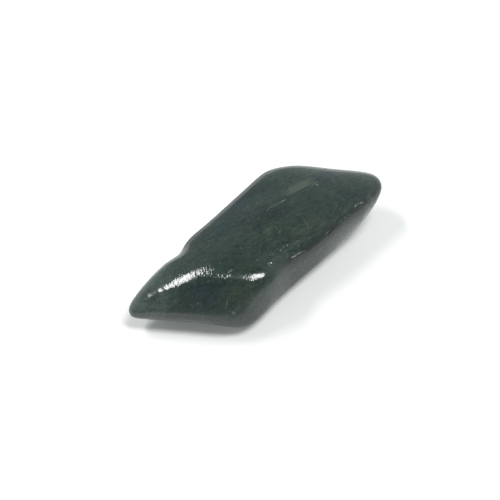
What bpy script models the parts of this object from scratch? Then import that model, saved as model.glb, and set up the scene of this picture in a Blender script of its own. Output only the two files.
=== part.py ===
"""A tumbled nephrite jade stone: one solid pebble, lying on its worn base.

Units are metres and +Z is up. The origin is on the surface that the stone lies on, under the middle of
its outline. The long diagonal of its lozenge outline runs along X, from the narrow near tip at -X to the
blunter far tip at +X. The front flank faces -Y.

The stone is described the way it came about. Flat cleavage faces give the lozenge, tumbling rounds the
edges between them, and a few hollows and swellings are left where the stone wore unevenly.
"""

import math

import bmesh
import bpy
import numpy as np

MM = 0.001

# The heart is the point inside the stone that every face, hollow and swelling is measured from.
HEART_HEIGHT = 5.2               # mm above the surface that the stone lies on
EDGE_ROUNDING = 0.7              # mm, how far neighbouring faces soften into each other
FARTHEST_REACH = 40.0            # mm, more than any point of the stone is from its heart

# The round blank of three-sided faces that is pressed onto the stone's surface.
BLANK_HALF_SIZES = (24.0, 9.0, 5.0)  # mm
BLANK_SUBDIVISIONS = 5
HALVINGS = 30                    # each one halves the doubt about where a ray leaves the stone
SETTLE_STEPS = 4                 # each one brings the points closer to the surface
SPREAD_PASSES = 12               # each one evens out the faces over the stone
SPREAD_SHARE = 0.5               # of the way to the middle of a point's neighbours, in one pass
REFINE_PASSES = 2
REFINE_SHARE = 0.3               # the same share, for the points that a refinement adds
SHARPEST_BEND = 11.0             # degrees between neighbouring faces, above which their edge is split

# Worn faces: name, bearing of the outward normal from +X in degrees, lift of the normal above level in
# degrees, distance of the face from the heart in mm.
WORN_FACES = (
    # the upper side
    ("top", -75, 84, 4.9),
    ("back shoulder", 105, 66, 5.05),
    ("near back slope", 123, 62, 6.6),
    ("near end slope", -128.5, 47, 10.95),
    ("near end crest", 165, 70, 8.5),
    ("far end slope", 52, 38, 15.0),
    # the brows, where the upper side rounds over into the flanks
    ("front brow", -77, 42, 8.55),
    ("near corner brow", -102, 24, 11.5),
    ("near tip brow", 165, 42, 16.7),
    ("far end brow", 52, 62, 10.2),
    ("far tip brow", 0, 45, 20.0),
    # the flanks
    ("back flank", 110, 4, 8.9),
    ("front flank", -77, 2, 9.4),
    ("near end flank", -126.5, 0, 15.9),
    ("far end flank", 54.5, 2, 16.3),
    ("near tip", 180, -5, 28.3),
    ("far tip", -2, -8, 25.3),
    # the underside
    ("back undercut", 110, -40, 7.6),
    ("front undercut", -73, -14, 10.6),
    ("front keel", -72, -50, 9.8),
    ("near end undercut", -126, -45, 13.0),
    ("far end undercut", 53, -40, 13.4),
    ("far tip undercut", -30, -35, 17.2),
    ("back sole", 110, -74, 6.1),
    ("front sole", -72, -76, 6.2),
    ("near end sole", -126, -75, 7.4),
    ("far end sole", 53, -76, 7.7),
)

# Hollows and swellings: name, centre from the heart in mm, reach along X, Y and Z in mm, depth in mm.
# A swelling has a negative depth.
WORN_SPOTS = (
    ("back notch", (-12.6, 4.5, 1.2), (1.2, 1.3, 2.2), 0.5),
    ("near back swelling", (-19.2, 2.2, 0.2), (4.2, 2.0, 2.2), -0.18),
    ("near tip swelling", (-23.8, -1.0, -0.5), (1.8, 1.8, 2.2), -0.3),
    ("back lump", (-9.2, 6.4, -0.6), (2.0, 1.6, 1.8), -0.25),
    ("front scallop", (2.6, -9.6, 3.4), (2.6, 2.0, 2.6), 0.7),
    ("far corner swelling", (12.0, 8.5, 2.0), (4.0, 3.0, 2.5), -0.4),
    ("near corner swelling", (-7.6, -10.6, -2.6), (3.2, 2.6, 2.4), -0.7),
    ("front brow swelling", (-3.2, -9.4, 2.9), (2.6, 1.8, 2.0), -0.5),
)

JADE_COLOUR = (0.030, 0.050, 0.042, 1.0)
JADE_ROUGHNESS = 0.2


def face_normals():
    """The outward unit normals of the worn faces, one in each row."""
    normals = []
    for _, bearing, lift, _ in WORN_FACES:
        turn = math.radians(bearing)
        rise = math.radians(lift)
        normals.append((math.cos(rise) * math.cos(turn), math.cos(rise) * math.sin(turn), math.sin(rise)))
    return np.array(normals)


def measure(points):
    """How far each point lies outside the stone in mm, negative inside, and the slope of that distance.

    Points are from the heart.
    """
    normals = face_normals()
    face_distances = np.array([distance for _, _, _, distance in WORN_FACES])
    pull = np.exp((points @ normals.T - face_distances) / EDGE_ROUNDING)
    total_pull = pull.sum(axis=1)
    outside = EDGE_ROUNDING * np.log(total_pull)
    slope = (pull / total_pull[:, None]) @ normals
    for _, centre, reach, depth in WORN_SPOTS:
        steps_away = (points - np.array(centre)) / np.array(reach)
        hollow = depth * np.exp(-0.5 * (steps_away ** 2).sum(axis=1))
        outside += hollow
        slope -= hollow[:, None] * steps_away / np.array(reach)
    return outside, slope


def points_of(blank):
    return np.array([vertex.co[:] for vertex in blank.verts])


def place_points(blank, places):
    for vertex, place in zip(blank.verts, places):
        vertex.co = place


def press_onto_stone(blank):
    """Moves each point of the blank along its ray from the heart to the stone's surface, by halving."""
    points = points_of(blank)
    rays = points / np.linalg.norm(points, axis=1)[:, None]
    inner = np.zeros(len(rays))
    outer = np.full(len(rays), FARTHEST_REACH)
    for _ in range(HALVINGS):
        middle = (inner + outer) / 2
        outside, _ = measure(rays * middle[:, None])
        inner = np.where(outside < 0, middle, inner)
        outer = np.where(outside < 0, outer, middle)
    place_points(blank, rays * inner[:, None])


def settle_onto_stone(blank):
    """Moves each point, already close to the stone's surface, squarely onto it."""
    points = points_of(blank)
    for _ in range(SETTLE_STEPS):
        outside, slope = measure(points)
        points -= (outside / (slope ** 2).sum(axis=1))[:, None] * slope
    place_points(blank, points)


def spread(blank, share):
    """Moves each point by a share of the way to the middle of its neighbours, along the surface."""
    bmesh.ops.smooth_vert(blank, verts=blank.verts[:], factor=share,
                          use_axis_x=True, use_axis_y=True, use_axis_z=True)
    settle_onto_stone(blank)


def refine_bends(blank):
    """Splits the edges that bend too sharply, evens out the new points and turns edges that fit badly."""
    blank.normal_update()
    bends = [edge for edge in blank.edges if edge.calc_face_angle() > math.radians(SHARPEST_BEND)]
    bmesh.ops.subdivide_edges(blank, edges=bends, cuts=1)
    bmesh.ops.triangulate(blank, faces=[face for face in blank.faces if len(face.verts) > 3])
    spread(blank, REFINE_SHARE)
    bmesh.ops.beautify_fill(blank, faces=blank.faces[:], edges=blank.edges[:], method="ANGLE")


def stand_over_origin(blank):
    """Flattens the base at the surface it lies on, and centres the outline over the origin."""
    points = points_of(blank)
    points[:, :2] -= (points[:, :2].min(axis=0) + points[:, :2].max(axis=0)) / 2
    points[:, 2] = np.maximum(points[:, 2] + HEART_HEIGHT, 0.0)
    place_points(blank, points)


def make_jade():
    jade = bpy.data.materials.new("jade")
    jade.use_nodes = True
    shader = jade.node_tree.nodes["Principled BSDF"]
    shader.inputs["Base Color"].default_value = JADE_COLOUR
    shader.inputs["Roughness"].default_value = JADE_ROUGHNESS
    shader.inputs["Metallic"].default_value = 0.0
    return jade


def make_jade_stone():
    blank = bmesh.new()
    bmesh.ops.create_icosphere(blank, subdivisions=BLANK_SUBDIVISIONS, radius=1.0)
    bmesh.ops.scale(blank, vec=BLANK_HALF_SIZES, verts=blank.verts[:])
    press_onto_stone(blank)
    for _ in range(SPREAD_PASSES):
        spread(blank, SPREAD_SHARE)
    for _ in range(REFINE_PASSES):
        refine_bends(blank)
    stand_over_origin(blank)
    bmesh.ops.scale(blank, vec=(MM, MM, MM), verts=blank.verts[:])

    mesh = bpy.data.meshes.new("jade_stone")
    blank.to_mesh(mesh)
    blank.free()
    mesh.shade_smooth()
    mesh.materials.append(make_jade())
    stone = bpy.data.objects.new("jade_stone", mesh)
    bpy.context.scene.collection.objects.link(stone)


def main():
    for old_object in list(bpy.data.objects):
        bpy.data.objects.remove(old_object)
    make_jade_stone()


main()
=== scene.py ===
# Looks of the tumbled jade stone: one worn pebble of dark nephrite, polished all over, lying on its base.
# Sizes and places in the dictionaries are millimetres unless a note says otherwise.
import math

import bmesh
import bpy
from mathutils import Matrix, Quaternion, Vector


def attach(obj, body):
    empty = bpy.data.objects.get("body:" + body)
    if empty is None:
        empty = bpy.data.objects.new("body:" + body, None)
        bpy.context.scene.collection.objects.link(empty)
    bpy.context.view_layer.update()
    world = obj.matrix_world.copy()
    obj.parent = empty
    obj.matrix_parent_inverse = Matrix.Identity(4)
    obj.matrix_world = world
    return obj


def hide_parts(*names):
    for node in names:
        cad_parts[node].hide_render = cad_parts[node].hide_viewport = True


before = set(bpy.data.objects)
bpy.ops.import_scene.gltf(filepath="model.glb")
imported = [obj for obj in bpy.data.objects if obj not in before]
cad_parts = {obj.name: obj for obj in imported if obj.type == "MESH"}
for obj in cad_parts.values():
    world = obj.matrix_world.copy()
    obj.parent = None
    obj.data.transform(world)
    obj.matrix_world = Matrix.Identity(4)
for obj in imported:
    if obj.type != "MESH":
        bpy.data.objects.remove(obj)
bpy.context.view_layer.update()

mm = 0.001      # metres
spotCore = 0.2  # share of a spot's reach where it has its full strength


class Wire:
    # a socket's output, so that node maths reads as sums and products
    def __init__(self, net, socket):
        self.net = net
        self.socket = socket

    def __add__(self, other):
        return self.net.maths("ADD", self, other)

    def __radd__(self, other):
        return self.net.maths("ADD", other, self)

    def __sub__(self, other):
        return self.net.maths("SUBTRACT", self, other)

    def __rsub__(self, other):
        return self.net.maths("SUBTRACT", other, self)

    def __mul__(self, other):
        return self.net.maths("MULTIPLY", self, other)

    def __rmul__(self, other):
        return self.net.maths("MULTIPLY", other, self)

    def __truediv__(self, other):
        return self.net.maths("DIVIDE", self, other)

    def __pow__(self, other):
        return self.net.maths("POWER", self, other)

    def most(self, other):
        return self.net.maths("MAXIMUM", self, other)

    def least(self, other):
        return self.net.maths("MINIMUM", self, other)

    def rise(self, low, high):
        # 0 up to low, 1 from high on, and a smooth slope between them
        return self.net.add("ShaderNodeMapRange", {"interpolation_type": "SMOOTHSTEP"},
                            {"Value": self, "From Min": low, "From Max": high})

    def fall(self, low, high):
        return 1.0 - self.rise(low, high)


class Net:
    # a node tree that is being wired
    def __init__(self, tree):
        self.tree = tree
        tree.nodes.clear()

    def add(self, kind, settings, sockets, out=0):
        node = self.tree.nodes.new(kind)
        for name, setting in settings.items():
            setattr(node, name, setting)
        for name, value in sockets.items():
            self.feed(self.find(node.inputs, name), value)
        return Wire(self, self.find(node.outputs, out)) if node.outputs else None

    def find(self, sockets, name):
        if isinstance(name, int):
            return sockets[name]
        return next(s for s in sockets if name in (s.identifier, s.name))

    def feed(self, socket, value):
        if isinstance(value, Wire):
            self.tree.links.new(value.socket, socket)
        elif isinstance(value, (int, float)) and socket.type == "VECTOR":
            socket.default_value = (value, value, value)
        elif socket.type == "RGBA":
            socket.default_value = (*value, 1.0)
        else:
            socket.default_value = value

    def maths(self, operation, a, b):
        # a Math node for numbers, and a Vector Math node as soon as one side is a vector
        isVector = any(isinstance(v, tuple) or isinstance(v, Wire) and v.socket.type in ("VECTOR", "RGBA")
                       for v in (a, b))
        kind = "ShaderNodeVectorMath" if isVector else "ShaderNodeMath"
        return self.add(kind, {"operation": operation}, {0: a, 1: b})

    def length(self, vector):
        return self.add("ShaderNodeVectorMath", {"operation": "LENGTH"}, {0: vector}, "Value")

    def axis(self, vector, name):
        return self.add("ShaderNodeSeparateXYZ", {}, {"Vector": vector}, name)

    def noise(self, place, size, detail=2.0, out=0):
        # 0 to 1 around a half, in lumps about as wide as size
        sockets = {"Vector": place, "Scale": 1.0 / size, "Detail": detail}
        return self.add("ShaderNodeTexNoise", {}, sockets, out)

    def wander(self, place, size, detail=2.0):
        # a shift of up to a half each way along X, Y and Z
        return self.noise(place, size, detail, "Color") - 0.5

    def attribute(self, name):
        return self.add("ShaderNodeAttribute", {"attribute_name": name}, {}, "Fac")

    def blend(self, factor, a, b):
        return self.add("ShaderNodeMix", {"data_type": "RGBA"},
                        {"Factor_Float": factor, "A_Color": a, "B_Color": b}, "Result_Color")

    def nearness(self, place, centre, reach, core):
        # 1 in the core of an oval spot and 0 outside it
        return self.length((place - centre) / reach).fall(core, 1.0)

    def strongest(self, place, spots):
        # the strongest of the spots at each place: a spot is its centre, its reach and its strength
        mask = None
        for centre, reach, strength in spots.values():
            spot = self.nearness(place, centre, reach, spotCore) * strength
            mask = spot if mask is None else mask.most(spot)
        return mask


socketKinds = {int: "NodeSocketInt", float: "NodeSocketFloat", bpy.types.Object: "NodeSocketObject"}


def geometryTree(name, values):
    # a tree with a geometry in and out, and an input for each of the values, under its name
    tree = bpy.data.node_groups.new(name, "GeometryNodeTree")
    net = Net(tree)
    tree.interface.new_socket("Geometry", in_out="INPUT", socket_type="NodeSocketGeometry")
    for valueName, value in values.items():
        tree.interface.new_socket(valueName, in_out="INPUT", socket_type=socketKinds[type(value)])
    tree.interface.new_socket("Geometry", in_out="OUTPUT", socket_type="NodeSocketGeometry")
    given = tree.nodes.new("NodeGroupInput")
    return net, {socket.name: Wire(net, socket) for socket in given.outputs}


def giveTree(piece, tree, values):
    modifier = piece.modifiers.new(tree.name, "NODES")
    modifier.node_group = tree
    for item in tree.interface.items_tree:
        if item.name in values:
            modifier[item.identifier] = values[item.name]


def applyModifiers(piece):
    # the result of the piece's modifiers becomes its plain mesh
    bpy.context.view_layer.update()
    mesh = bpy.data.meshes.new_from_object(piece.evaluated_get(bpy.context.evaluated_depsgraph_get()))
    piece.modifiers.clear()
    piece.data = mesh


skin = {
    "weldDistance": 0.001,
    "faceSize": 0.33,      # of the even faces that the stone is remade of, before each is split in four
}
easing = {
    "easePasses": 10,      # of smoothing, which takes the solid's facets away
}


def easeTree():
    # smooths twice, and gives back what the second smoothing takes, so that the stone keeps its size
    net, asked = geometryTree("ease facets", easing)

    def smoothed(value):
        return net.add("GeometryNodeBlurAttribute", {"data_type": "FLOAT_VECTOR"},
                       {"Value": value, "Iterations": asked["easePasses"]})

    once = smoothed(net.add("GeometryNodeInputPosition", {}, {}))
    twice = smoothed(once)
    eased = net.add("GeometryNodeSetPosition", {},
                    {"Geometry": asked["Geometry"], "Position": once * 2.0 - twice})
    net.add("NodeGroupOutput", {}, {"Geometry": eased})
    return net.tree


def makeSkin():
    shape = bmesh.new()
    shape.from_mesh(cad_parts["jade_stone"].data)
    bmesh.ops.remove_doubles(shape, verts=shape.verts[:], dist=skin["weldDistance"] * mm)
    mesh = bpy.data.meshes.new("polished_stone")
    shape.to_mesh(mesh)
    shape.free()
    stone = bpy.data.objects.new("polished_stone", mesh)
    bpy.context.scene.collection.objects.link(stone)

    remesh = stone.modifiers.new("even faces", "REMESH")
    remesh.mode = "VOXEL"
    remesh.voxel_size = skin["faceSize"] * mm
    giveTree(stone, easeTree(), easing)
    split = stone.modifiers.new("split faces", "SUBSURF")
    split.levels = split.render_levels = 1
    applyModifiers(stone)
    return stone


# the stone's thin flaws: paths on its surface, where the near tip is at -X and the far tip at +X
flaws = {
    "healedCracks": [
        [(2.7, 1.4, 9.8), (3.5, 1.75, 9.8), (4.6, 1.75, 9.8), (5.6, 1.7, 9.85), (6.9, 1.9, 9.85)],
        [(12.6, 2.35, 9.8), (13.5, 2.6, 9.75)],
        [(12.9, 1.85, 9.8), (13.1, 2.05, 9.79)],
    ],
    "scratches": [
        [(1.25, -7.5, 8.5), (1.75, -7.7, 8.1), (2.4, -7.75, 7.95), (3.3, -7.6, 7.95),
         (4.5, -7.5, 7.85)],                                                        # scuff on the front ridge
        [(-10.9, -9.1, 7.15), (-11.1, -9.35, 6.8), (-11.45, -9.6, 6.3)],
        [(-10.7, -10.45, 5.7), (-10.65, -10.85, 5.05)],
        [(-8.1, -5.8, 9.6), (-8.8, -6.0, 9.5)],
        [(-14.6, -7.35, 6.7), (-14.3, -7.0, 6.85)],
        [(-15.0, -7.0, 6.7), (-14.7, -6.75, 6.8)],
        [(-2.5, -7.5, 9.3), (-1.9, -7.8, 9.2), (-2.5, -8.2, 9.2), (-2.5, -7.5, 9.3)],  # a small ring
        [(9.2, -6.7, 8.0), (9.9, -6.35, 8.1)],
        [(12.5, -5.75, 8.2), (12.9, -5.6, 8.2)],
        [(13.6, -5.5, 8.2), (14.0, -5.3, 8.2)],
        [(16.4, -4.5, 8.5), (17.0, -4.2, 8.55), (18.0, -4.2, 8.35)],
        [(2.5, -8.9, 2.5), (3.3, -8.75, 2.7), (4.3, -8.35, 2.4)],                   # low on the front flank
    ],
    "openCracks": [
        [(6.8, 1.8, 9.84), (7.8, 2.2, 9.8), (9.5, 2.2, 9.85), (11.5, 2.4, 9.83), (13.3, 2.5, 9.77),
         (14.95, 3.1, 9.55), (16.8, 4.8, 8.7)],                                     # on from the healed one
        [(0.35, -9.35, 5.6), (1.1, -9.15, 5.55), (1.95, -8.9, 5.5)],                # on the front flank
        [(-2.9, -10.5, 5.6), (-2.1, -10.25, 5.9)],
    ],
}
chips = {  # centre, reach along X, Y and Z, and depth: shallow bruises on the stone's edges
    "ring": ((-2.2, -7.8, 9.2), (0.42, 0.38, 0.4), 0.05),
    "ridge scuff": ((2.9, -7.65, 8.0), (1.8, 0.3, 0.35), 0.05),
    "ridge far": ((9.6, -6.5, 8.05), (0.7, 0.3, 0.35), 0.05),
    "tip ridge": ((17.3, -4.3, 8.45), (0.9, 0.35, 0.4), 0.06),
    "tip ridge small": ((13.75, -5.4, 8.2), (0.35, 0.3, 0.35), 0.05),
    "near nick": ((-10.65, -10.7, 5.4), (0.3, 0.3, 0.5), 0.08),
    "near star": ((-14.5, -7.1, 6.8), (0.35, 0.3, 0.3), 0.06),
}
wear = {
    "swellSize": 6.0,          # of the broad waves left by tumbling
    "swellHeight": 0.05,
    "rippleSize": 1.5,
    "rippleHeight": 0.008,     # and up to twice as high in the coarse spots
    "grainSize": 0.42,         # of the jade's felted fibres
    "grainHeight": 0.003,
    "coarseGrain": 6.0,        # times higher in the coarse spots
    "pitsPerSquareMm": 1.4,    # in the most pitted spot
    "strayPits": 0.12,         # share of that many more, all over the stone
    "pitRadius": 0.13,
    "pitDepth": 0.025,
    "smallestPit": 0.3,        # times that radius and depth
    "largestPit": 1.4,
    "crackDepth": 0.05,
    "crackReach": 0.14,
    "scratchDepth": 0.4,       # share of a crack's depth
    "scratchReach": 0.12,
    "pathStep": 0.25,          # between the points of a crack or scratch
    "pathWander": 0.35,        # how widely it strays from its path
    "pathBends": 0.9,          # size of its bends
    "baseHeight": 0.1,         # up to which the flat base stays unworn
    "wornHeight": 1.0,         # from which on the wear is full
    "seed": 7,
}
# the waves are shifted, so that they don't meet in one place
waveShifts = {"swell": (0.0, 0.0, 0.0), "ripple": (3.1, 7.7, 1.3), "grain": (9.1, 2.7, 5.3)}
coarseSpots = {  # centre, reach, and how coarse: where the polish broke up
    "near crest": ((-14.7, -2.6, 8.4), (5.2, 2.2, 2.0), 0.33),
    "crest end": ((-11.5, -3.3, 9.2), (2.0, 1.5, 1.0), 0.85),
    "near middle": ((-10.9, -4.6, 9.4), (2.6, 1.8, 1.2), 0.75),
    "near middle low": ((-10.1, -5.8, 9.3), (2.4, 1.7, 1.0), 0.6),
    "near corner": ((-5.4, -8.1, 9.2), (3.4, 1.9, 1.4), 0.42),
    "near corner low": ((-6.5, -9.0, 8.8), (1.8, 1.2, 1.0), 0.5),
    "front ridge": ((0.0, -6.9, 9.1), (4.0, 1.4, 1.0), 0.3),
    "front scuff": ((2.9, -7.6, 8.1), (2.4, 0.8, 0.8), 0.8),
    "far ridge": ((13.4, -5.2, 8.4), (7.0, 1.2, 1.2), 0.35),
    "far tip ridge": ((17.3, -4.3, 8.5), (1.6, 0.9, 0.8), 0.8),
    "top front": ((4.2, -4.0, 9.6), (7.0, 3.2, 2.0), 0.08),
}
pittedSpots = {  # centre, reach, and how thickly pits lie, which show pale: partly pale inclusions, partly painted glints
    "front ridge": ((0.2, -6.4, 9.2), (7.0, 2.2, 1.8), 1.0),
    "front middle": ((2.5, -4.6, 9.6), (7.0, 3.0, 2.0), 0.35),
    "near middle": ((-9.6, -5.8, 9.4), (4.5, 2.4, 1.6), 0.4),
    "far ridge": ((13.4, -5.0, 8.4), (7.0, 1.6, 1.4), 0.5),
    "far top": ((10.0, 4.0, 9.8), (6.0, 3.0, 2.0), 0.2),
}


def pathShape(name, paths):
    points = [Vector(point) * mm for path in paths for point in path]
    edges = []
    first = 0
    for path in paths:
        edges += [(first + i, first + i + 1) for i in range(len(path) - 1)]
        first += len(path)
    mesh = bpy.data.meshes.new(name)
    mesh.from_pydata(points, edges, [])
    shape = bpy.data.objects.new(name, mesh)
    bpy.context.scene.collection.objects.link(shape)
    return shape


def pits(net, asked, place, pitted):
    # round bowls around scattered points: 1 in a bowl's middle and 0 outside it, and the size of the bowl
    perSquareMetre = asked["pitsPerSquareMm"] * (asked["strayPits"] + pitted) * 1e6
    points = net.add("GeometryNodeDistributePointsOnFaces", {"distribute_method": "RANDOM"},
                     {"Mesh": asked["Geometry"], "Density": perSquareMetre, "Seed": asked["seed"]}, "Points")
    size = net.add("FunctionNodeRandomValue", {"data_type": "FLOAT"},
                   {"Min_001": asked["smallestPit"], "Max_001": asked["largestPit"],
                    "Seed": asked["seed"]}, "Value_001")
    points = net.add("GeometryNodeStoreNamedAttribute", {"data_type": "FLOAT", "domain": "POINT"},
                     {"Geometry": points, "Name": "size", "Value": size})
    nearest = net.add("GeometryNodeSampleNearest", {"domain": "POINT"}, {"Geometry": points})

    def ofNearest(kind, value):
        return net.add("GeometryNodeSampleIndex", {"data_type": kind, "domain": "POINT"},
                       {"Geometry": points, "Index": nearest, "Value": value})

    middle = ofNearest("FLOAT_VECTOR", net.add("GeometryNodeInputPosition", {}, {}))
    size = ofNearest("FLOAT", net.add("GeometryNodeInputNamedAttribute", {"data_type": "FLOAT"},
                                      {"Name": "size"}))
    away = net.length(place - middle * (1.0 / mm)) / (size * asked["pitRadius"])
    return (1.0 - away * away).most(0.0) ** 2.0, size


def distanceTo(net, asked, place, name):
    # each path wanders a little, then lies down on the stone
    path = net.add("GeometryNodeObjectInfo", {"transform_space": "RELATIVE"},
                   {"Object": asked[name]}, "Geometry")
    path = net.add("GeometryNodeMeshToCurve", {}, {"Mesh": path})
    path = net.add("GeometryNodeResampleCurve", {"mode": "LENGTH"},
                   {"Curve": path, "Length": asked["pathStep"] * mm})
    bends = net.wander(place / asked["pathBends"], 1.0, detail=3.0)
    path = net.add("GeometryNodeSetPosition", {},
                   {"Geometry": path, "Offset": bends * (asked["pathWander"] * mm)})
    onStone = net.add("GeometryNodeProximity", {"target_element": "FACES"},
                      {"Target": asked["Geometry"]}, "Position")
    path = net.add("GeometryNodeSetPosition", {}, {"Geometry": path, "Position": onStone})
    path = net.add("GeometryNodeCurveToMesh", {}, {"Curve": path})
    away = net.add("GeometryNodeProximity", {"target_element": "EDGES"}, {"Target": path}, "Distance")
    return away * (1.0 / mm)


def wearTree(finish, flawShapes):
    net, asked = geometryTree("wear", {**wear, **flawShapes})
    place = net.add("GeometryNodeInputPosition", {}, {}) * (1.0 / mm)
    coarse = net.strongest(place, coarseSpots)
    pitted = net.strongest(place, pittedSpots)

    def wave(name, detail):
        return net.noise(place / asked[name + "Size"] + waveShifts[name], 1.0, detail) - 0.5

    grainRise = 1.0 + coarse * (asked["coarseGrain"] - 1.0)
    height = (wave("swell", detail=1.0) * asked["swellHeight"]
              + wave("ripple", detail=1.0) * asked["rippleHeight"] * (1.0 + coarse)
              + wave("grain", detail=2.0) * asked["grainHeight"] * grainRise)
    pit, pitSize = pits(net, asked, place, pitted)
    height = height - pit * pitSize * asked["pitDepth"]
    for centre, reach, depth in chips.values():
        away = net.length((place - centre) / reach)
        height = height - (1.0 - away * away).most(0.0) * depth

    fields = {"pit": pit, "pitted": pitted, "coarse": coarse}
    for name in flawShapes:
        fields[name] = distanceTo(net, asked, place, name)
    groove = (fields["openCracks"].fall(0.0, asked["crackReach"])
              + fields["scratches"].fall(0.0, asked["scratchReach"]) * asked["scratchDepth"])
    height = height - groove * asked["crackDepth"]

    # the finish reads these again, under their names
    stone = asked["Geometry"]
    for name, value in fields.items():
        stone = net.add("GeometryNodeStoreNamedAttribute", {"data_type": "FLOAT", "domain": "POINT"},
                        {"Geometry": stone, "Name": name, "Value": value})
    outward = net.add("GeometryNodeInputNormal", {}, {})
    aboveBase = net.axis(place, "Z").rise(asked["baseHeight"], asked["wornHeight"])
    stone = net.add("GeometryNodeSetPosition", {},
                    {"Geometry": stone, "Offset": outward * (height * aboveBase * mm)})
    stone = net.add("GeometryNodeSetShadeSmooth", {}, {"Geometry": stone})
    stone = net.add("GeometryNodeRealizeInstances", {}, {"Geometry": stone})
    stone = net.add("GeometryNodeSetMaterial", {}, {"Geometry": stone, "Material": finish})
    net.add("NodeGroupOutput", {}, {"Geometry": stone})
    return net.tree


def wearDown(stone, finish):
    flawShapes = {name: pathShape(name, paths) for name, paths in flaws.items()}
    giveTree(stone, wearTree(finish, flawShapes), {**wear, **flawShapes})
    applyModifiers(stone)
    for shape in flawShapes.values():
        bpy.data.objects.remove(shape)


jade = {
    "green": (0.0238, 0.0392, 0.0316),
    "blue": (0.017, 0.031, 0.032),
    "deep": (0.012, 0.023, 0.021),
    "olive": (0.032, 0.047, 0.032),
    "pale": (0.056, 0.078, 0.067),         # a lighter green, towards the near tip
    "floorSheen": (0.116, 0.144, 0.127),          # painted reflection of the pale floor, where the stone turns down towards it
    "brightFloorSheen": (0.30, 0.34, 0.31),           # a brighter painted reflection of the floor
    "patch": (0.063, 0.084, 0.062),        # along the crack
    "mottle": (0.058, 0.080, 0.058),
    "fleck": (0.16, 0.20, 0.17),
    "healed": (0.38, 0.44, 0.41),
    "open": (0.012, 0.018, 0.015),
    "ior": 1.62,
    "seeThrough": 0.12,                    # how much light sinks in
    "sinkDepth": 0.4,                      # how far it sinks in
    "sinkColours": (1.0, 1.5, 1.2),        # times that for red, green and blue
    "wideDrift": (4.0, 5.0),               # size of the bends in the zones' edges, and how far they swing
    "narrowDrift": (0.9, 1.0),
}
tints = {  # colour, then for each zone its centre, reach and strength
    "pale": {
        "near tip": ((-21.5, -1.5, 6.0), (8.5, 5.5, 4.5), 0.9),
    },
    # painted reflection of the pale floor on the low flanks
    "floorSheen": {
        "far flank": ((19.0, -6.4, 2.6), (16.0, 4.8, 5.8), 0.85),
        "near end low": ((-13.0, -9.5, 1.0), (13.0, 4.5, 4.0), 0.6),
    },
    # brighter painted reflection of the floor on the far tip's flank
    "brightFloorSheen": {
        "far tip flank": ((21.5, -4.4, 4.6), (8.5, 3.6, 3.3), 0.85),
    },
    "blue": {
        "back shoulder": ((0.9, 7.1, 7.6), (11.0, 4.2, 3.5), 1.0),
        "back band": ((-4.1, 3.3, 8.6), (8.0, 3.0, 2.5), 1.0),
        "front middle": ((-13.8, -6.4, 7.4), (4.2, 3.6, 3.2), 1.0),
        "far end": ((17.2, -3.0, 9.0), (4.0, 2.2, 2.5), 0.7),
        "far corner": ((15.9, 2.4, 9.5), (3.6, 2.8, 2.0), 1.0),
    },
    "deep": {
        "middle": ((2.8, 0.6, 9.7), (6.5, 2.6, 2.2), 1.0),
        "navy": ((3.3, 7.7, 7.7), (4.5, 2.2, 2.4), 1.0),
        # painted shade, which dims the near crest where the lamp's reflection runs on too far
        "near crest": ((-21.0, -1.2, 7.2), (3.0, 2.2, 2.2), 0.7),
    },
    "olive": {
        "front middle": ((6.7, -4.6, 9.4), (4.0, 2.2, 2.0), 0.8),
        "near corner": ((-8.6, -9.8, 7.4), (2.6, 2.4, 2.6), 0.8),
    },
}
lumps = {  # squeeze along X, Y and Z, share of the drift, size, detail, and how much it lightens the stone
    "layers": ((0.16, 0.8, 0.8), 0.0, 1.0, 3.0, 0.5),     # foliation, which runs along X
    "clouds": ((1.0, 1.0, 1.0), 0.0, 1.3, 3.0, 0.35),
    "felt": ((0.7, 1.2, 1.0), 1.0, 0.3, 2.0, 1.25),       # of fibres
    "wisps": ((0.6, 1.3, 1.0), 0.5, 0.75, 1.0, 0.8),
}
lumpsBalance = -0.56  # which brings the lumps together to a little under 1
mottling = {
    "centre": (0.6, -3.0, 9.8),
    "reach": (7.0, 3.0, 2.5),
    "core": 0.3,
    "inWisps": (0.5, 0.66),                # how thick the wisps are where it starts, and where it is full
    "inClouds": (0.35, 0.6),
    "strength": 0.45,
}
brow = {  # painted shade: a darker band along the front brow, over the line y = atMiddle + slope * x
    "slope": 0.21,
    "atMiddle": -8.55,
    "height": 7.5,
    "halfWidth": 1.3,
    "start": (-1.5, 1.0),                  # along X
    "paintedShade": 0.5,
}
backEdge = {
    "towards": (-0.34, 0.94),              # X and Y of the way from the stone's middle to its back
    "rimSheenFrom": (6.2, 8.5),                # that far out, the near tip's edge gets a painted reflection of the floor
    "rimSheenTo": (-16.0, -11.0),              # along X
    "rimSheen": 0.8,
    "dullFrom": (6.6, 8.4),                # and the rest of the edge gets dull
    "dullAfter": (-16.0, -10.0),           # along X
    "dullness": 0.45,
}
patch = {  # ends sharply at the crack, on the line y = atMiddle + slope * x, and fades away from it
    "centre": (10.2, 2.8, 9.8),
    "reach": (3.9, 1.9, 2.0),
    "core": 0.35,
    "drift": 0.35,                         # share of the other zones' drift
    "slope": 0.045,
    "atMiddle": 1.86,
    "edge": 0.18,
    "strength": 0.1,
    "inClouds": 0.6,                       # and stronger in the clouds and the felt
    "inFelt": 0.7,
}
grains = {  # shift, size of the cells that hold a grain, its radius, share of cells that do, strength
    "fine": ((0.0, 0.0, 0.0), 0.45, 0.08, 0.35, 0.45),
    "large": ((4.0, 1.0, 2.0), 1.9, 0.15, 0.45, 0.5),
}
grainShape = {
    "core": 0.35,                          # share of a grain that is fully pale
    "smallest": 0.5,                       # times the radius, and the largest is 1 more
    "chanceEdge": 0.01,
}
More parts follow.
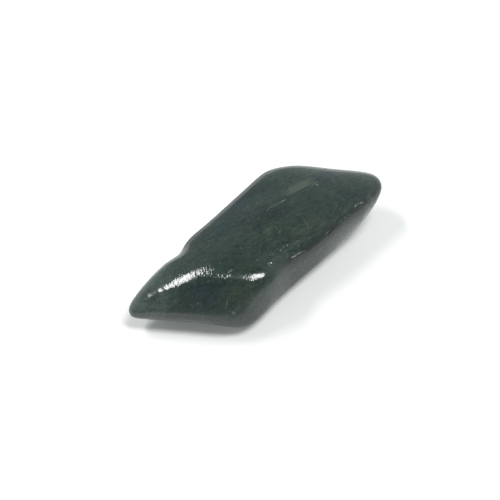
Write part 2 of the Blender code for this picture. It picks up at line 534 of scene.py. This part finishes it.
marks = {  # a reach is how far from its path a crack or scratch starts to fade, and where it ends
    "gapSize": 0.5,                        # of the breaks in the healed crack and the scratches
    # pale in the pits: partly pale inclusions, partly painted glints
    "pitPale": 0.2,
    "pittedPale": 0.6,                     # more in the pitted spots
    "healedReach": (0.02, 0.1),
    "healedGaps": (0.25, 0.5),
    "healedStart": 1.6,                    # along X, where the healed crack starts to show
    "healedGrowth": 0.15,                  # for each millimetre from there
    "healedPale": 0.6,                     # at the most
    "scratchReach": (0.04, 0.2),
    "scratchGaps": (0.35, 0.6),
    "scratchPale": 0.15,
    "coarsePale": 0.5,                     # more in the coarse spots, as painted glints
    "openReach": (0.02, 0.16),
    "openDark": 0.7,
}
polish = {
    "roughness": 0.12,
    "wornSize": 2.6,                       # of the places where the polish is a little rougher
    "worn": (0.45, 0.7),                   # of the noise, from 0 to 1, where one starts and is full
    "wornRoughness": 0.06,
    "pitRoughness": 0.2,
    "crackRoughness": 0.2,
    "crackReach": 0.15,
    "satinRoughness": 0.3,
    "glassyRoughness": -0.06,
}
satinSpots = {  # centre, reach, and how satin: low on the stone, where the polish is thin
    "front flank": ((6.0, -8.5, 2.5), (22.0, 5.0, 5.0), 1.0),
    "near end flank": ((-13.0, -10.5, 2.0), (13.0, 5.5, 5.0), 1.0),
}
glassySpots = {  # centre, reach, and how glassy: where the polish is best
    "near crest": ((-18.2, -2.6, 7.7), (4.0, 2.4, 2.4), 1.0),
    "near corner": ((-6.0, -8.2, 9.0), (2.5, 1.6, 1.2), 0.6),
}
relief = {  # too fine for the mesh
    "fineSize": 0.16,
    "fineHeight": 0.003,
    "grainSize": 0.4,
    "grainHeight": 0.004,
    "fibreSize": 0.3,                      # of the felted fibres, which stand up in the coarse spots
    "fibreHeight": 0.11,
    "fibreTurn": math.radians(31.0),
    "fibreSqueeze": (1.0, 0.45, 1.0),      # once turned, so that they run across the stone
    "crackReach": 0.16,
    "crackDepth": 0.025,
    "scratchReach": 0.12,
    "scratchDepth": 0.004,
}


def flecks(net, place):
    # round pale grains, one at most in each cell
    masks = []
    for shift, cell, radius, share, strength in grains.values():
        cells = {"Vector": place + shift, "Scale": 1.0 / cell, "Randomness": 1.0}
        away = net.add("ShaderNodeTexVoronoi", {}, cells, "Distance") * cell
        chance = net.add("ShaderNodeTexVoronoi", {}, cells, "Color")
        empty = 1.0 - share
        edge = grainShape["chanceEdge"]
        present = net.axis(chance, "X").rise(empty - edge, empty + edge)
        size = (grainShape["smallest"] + net.axis(chance, "Y")) * radius
        masks.append((away / size).fall(grainShape["core"], 1.0) * present * strength)
    fine, large = masks
    return fine.most(large)


def jadeColour(net, place, towardsBack):
    x, y, z = (net.axis(place, name) for name in "XYZ")
    drift = sum(net.wander(place, size) * swing
                for size, swing in (jade["wideDrift"], jade["narrowDrift"]))
    drifted = place + drift
    colour = jade["green"]
    for name, zones in tints.items():
        colour = net.blend(net.strongest(drifted, zones), colour, jade[name])

    shade = {}
    lightness = lumpsBalance
    for name, (squeeze, share, size, detail, weight) in lumps.items():
        shade[name] = net.noise(place * squeeze + drift * share, size, detail)
        lightness = lightness + shade[name] * weight
    colour = colour * lightness

    mottles = net.nearness(drifted, mottling["centre"], mottling["reach"], mottling["core"])
    mottles = mottles * shade["wisps"].rise(*mottling["inWisps"])
    mottles = mottles * shade["clouds"].rise(*mottling["inClouds"])
    colour = net.blend(mottles * mottling["strength"], colour, jade["mottle"])

    # painted shade along the front brow
    acrossBrow = (y - x * brow["slope"] - brow["atMiddle"]) / brow["halfWidth"]
    aboveBrow = (z - brow["height"]) / brow["halfWidth"]
    dark = (1.0 - acrossBrow * acrossBrow - aboveBrow * aboveBrow).most(0.0) * x.rise(*brow["start"])
    colour = colour * (1.0 - dark * brow["paintedShade"])
    # painted reflection of the floor along the near tip's back edge
    paintedRim = towardsBack.rise(*backEdge["rimSheenFrom"]) * x.fall(*backEdge["rimSheenTo"])
    colour = net.blend(paintedRim * backEdge["rimSheen"], colour, jade["floorSheen"])

    pastCrack = (y - x * patch["slope"] - patch["atMiddle"]).rise(0.0, patch["edge"])
    inPatch = net.nearness(place + drift * patch["drift"], patch["centre"], patch["reach"], patch["core"])
    strength = patch["strength"] + shade["clouds"] * patch["inClouds"] + shade["felt"] * patch["inFelt"]
    colour = net.blend(inPatch * pastCrack * strength, colour, jade["patch"])
    return net.blend(flecks(net, place), colour, jade["fleck"])


def markedColour(net, place, worn, colour):
    # the pits, cracks and scratches show in the colour too; the pale in the pits and scratches is partly
    # painted glints
    gaps = net.noise(place, marks["gapSize"])
    pale = marks["pitPale"] + worn["pitted"] * marks["pittedPale"]
    colour = net.blend(worn["pit"] * pale, colour, jade["fleck"])
    along = (net.axis(place, "X") - marks["healedStart"]) * marks["healedGrowth"]
    along = along.least(marks["healedPale"])
    healed = worn["healedCracks"].fall(*marks["healedReach"]) * along * gaps.rise(*marks["healedGaps"])
    colour = net.blend(healed, colour, jade["healed"])
    # pale scratches: partly real scuffs, partly painted glints on the ridges
    scratched = worn["scratches"].fall(*marks["scratchReach"]) * gaps.rise(*marks["scratchGaps"])
    pale = marks["scratchPale"] + worn["coarse"] * marks["coarsePale"]
    colour = net.blend(scratched * pale, colour, jade["healed"])
    opened = worn["openCracks"].fall(*marks["openReach"])
    return net.blend(opened * marks["openDark"], colour, jade["open"])


def jadePolish(net, place, towardsBack, worn):
    rougher = net.noise(place, polish["wornSize"], detail=3.0).rise(*polish["worn"])
    edge = towardsBack.rise(*backEdge["dullFrom"]) * net.axis(place, "X").rise(*backEdge["dullAfter"])
    return (polish["roughness"] + rougher * polish["wornRoughness"] + worn["pit"] * polish["pitRoughness"]
            + worn["openCracks"].fall(0.0, polish["crackReach"]) * polish["crackRoughness"]
            + edge * backEdge["dullness"]
            + net.strongest(place, satinSpots) * polish["satinRoughness"]
            + net.strongest(place, glassySpots) * polish["glassyRoughness"])


def jadeRelief(net, place, worn):
    turned = net.add("ShaderNodeVectorRotate", {"rotation_type": "Z_AXIS"},
                     {"Vector": place, "Angle": relief["fibreTurn"]})
    fibres = net.noise(turned * relief["fibreSqueeze"], relief["fibreSize"])
    height = (net.noise(place, relief["fineSize"]) * relief["fineHeight"]
              + net.noise(place, relief["grainSize"]) * relief["grainHeight"]
              + fibres * worn["coarse"] * relief["fibreHeight"]
              - worn["openCracks"].fall(0.0, relief["crackReach"]) * relief["crackDepth"]
              - worn["scratches"].fall(0.0, relief["scratchReach"]) * relief["scratchDepth"])
    return net.add("ShaderNodeBump", {}, {"Height": height, "Distance": mm, "Strength": 1.0})


def jadeFinish():
    finish = bpy.data.materials.new("polished_jade")
    finish.use_nodes = True
    net = Net(finish.node_tree)
    place = net.add("ShaderNodeTexCoord", {}, {}, "Object") * (1.0 / mm)
    towardsBack = (net.axis(place, "X") * backEdge["towards"][0]
                   + net.axis(place, "Y") * backEdge["towards"][1])
    worn = {name: net.attribute(name) for name in ("pit", "pitted", "coarse", *flaws)}
    shader = net.add("ShaderNodeBsdfPrincipled", {}, {
        "Base Color": markedColour(net, place, worn, jadeColour(net, place, towardsBack)),
        "Roughness": jadePolish(net, place, towardsBack, worn),
        "Normal": jadeRelief(net, place, worn),
        "IOR": jade["ior"],
        "Subsurface Weight": jade["seeThrough"],
        "Subsurface Radius": jade["sinkColours"],
        "Subsurface Scale": jade["sinkDepth"] * mm,
    })
    net.add("ShaderNodeOutputMaterial", {}, {"Surface": shader})
    return finish


studio = {
    "floorSize": 4000.0,
    "floorColour": (0.79, 0.79, 0.785),
    "floorRoughness": 0.9,
    "floorGlow": 0.075,             # light that seeps through the soft floor into the stone's shadow
    "roomColour": (0.89, 0.98, 0.985),
    "roomLight": 0.13,              # the dim ceiling
    "lowLight": 0.16,               # the room's walls add this much
    "ceilingEdge": (0.72, 0.88),    # how high walls turn into ceiling, from 0 at the horizon to 1 overhead
    "horizonLight": 0.34,           # and the far floor in front this much more
    "horizonEdge": (0.0, 0.4),      # how high it fades
    "frontBearing": -60.0,          # degrees from +X
    "frontEdge": (-0.3, 0.6),       # where it starts and is full: 1 is on the bearing, and 0 square to it
    "leftLight": 0.5,               # a paler wall to the left adds this much
    "leftBearing": 150.0,
    "leftEdge": (0.3, 1.0),
    "wallLight": 0.55,              # the palest wall, behind the stone's far end, adds this much
    "wallBearing": 14.0,
    "wallEdge": (0.25, 1.0),
    "lamps": {                      # towards the oval lamp, its distance, width, length, turn and brightness
        "overhead": ((0.23, -0.215, 0.949), 600.0, 168.0, 312.0, 167.0, 19.5),
        "left": ((-0.319, 0.529, 0.786), 600.0, 120.0, 322.0, 121.0, 20.2),
    },
}


def makeFloor():
    half = studio["floorSize"] / 2 * mm
    mesh = bpy.data.meshes.new("floor")
    corners = [(-half, -half, 0), (half, -half, 0), (half, half, 0), (-half, half, 0)]
    mesh.from_pydata(corners, [], [(0, 1, 2, 3)])
    floor = bpy.data.objects.new("floor", mesh)
    bpy.context.scene.collection.objects.link(floor)
    paint = bpy.data.materials.new("pale_floor")
    paint.use_nodes = True
    shader = paint.node_tree.nodes["Principled BSDF"]
    shader.inputs["Base Color"].default_value = (*studio["floorColour"], 1.0)
    shader.inputs["Roughness"].default_value = studio["floorRoughness"]
    shader.inputs["Specular IOR Level"].default_value = 0.0
    shader.inputs["Emission Color"].default_value = (1.0, 1.0, 1.0, 1.0)
    shader.inputs["Emission Strength"].default_value = studio["floorGlow"]
    mesh.materials.append(paint)


def makeRoom():
    world = bpy.data.worlds.new("room")
    bpy.context.scene.world = world
    world.use_nodes = True
    net = Net(world.node_tree)
    outward = net.add("ShaderNodeTexCoord", {}, {}, "Generated")
    height = net.axis(outward, "Z")

    def towards(name):
        turn = math.radians(studio[name + "Bearing"])
        facing = net.add("ShaderNodeVectorMath", {"operation": "DOT_PRODUCT"},
                         {0: outward, 1: (math.cos(turn), math.sin(turn), 0.0)}, "Value")
        return facing.rise(*studio[name + "Edge"])

    light = (studio["roomLight"] + height.fall(*studio["ceilingEdge"]) * studio["lowLight"]
             + height.fall(*studio["horizonEdge"]) * towards("front") * studio["horizonLight"]
             + towards("wall") * studio["wallLight"]
             + towards("left") * studio["leftLight"])
    air = net.add("ShaderNodeBackground", {}, {"Color": studio["roomColour"], "Strength": light})
    net.add("ShaderNodeOutputWorld", {}, {"Surface": air})


def makeLamps():
    for name, (direction, distance, width, length, turn, brightness) in studio["lamps"].items():
        light = bpy.data.lights.new(name, "AREA")
        light.shape = "ELLIPSE"
        light.size = width * mm
        light.size_y = length * mm
        ovalArea = math.pi * width * length / 4 * mm * mm
        light.energy = brightness * math.pi * ovalArea
        lamp = bpy.data.objects.new(name, light)
        lamp.location = Vector(direction).normalized() * distance * mm
        spin = Quaternion((0, 0, 1), math.radians(turn))
        lamp.rotation_euler = (Vector(direction).to_track_quat("Z", "Y") @ spin).to_euler()
        bpy.context.scene.collection.objects.link(lamp)


view = {
    "target": (-1.5, -0.3, 4.0),
    "turn": -31.0,         # degrees from the stone's front, below 0 to the left
    "lift": 52.5,          # degrees above level
    "distance": 140.0,
    "lens": 60.5,
    "sensorWidth": 36.0,
    "nearest": 5.0,        # that the camera sees
}


def makeCamera():
    turn, lift = math.radians(view["turn"]), math.radians(view["lift"])
    back = Vector((math.sin(turn) * math.cos(lift), -math.cos(turn) * math.cos(lift), math.sin(lift)))
    camera = bpy.data.objects.new("camera", bpy.data.cameras.new("camera"))
    camera.data.lens = view["lens"]
    camera.data.sensor_width = view["sensorWidth"]
    camera.data.clip_start = view["nearest"] * mm
    camera.location = (Vector(view["target"]) + back * view["distance"]) * mm
    camera.rotation_euler = back.to_track_quat("Z", "Y").to_euler()
    bpy.context.scene.collection.objects.link(camera)
    bpy.context.scene.camera = camera
    bpy.context.scene.view_settings.view_transform = "Standard"


stone = makeSkin()
print("skin:", len(stone.data.polygons), "faces")
wearDown(stone, jadeFinish())
print("worn down:", len(stone.data.polygons), "faces,", [m.name for m in stone.data.materials])
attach(stone, "root")
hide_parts("jade_stone")

makeFloor()
makeRoom()
makeLamps()
makeCamera()
print("stage set")
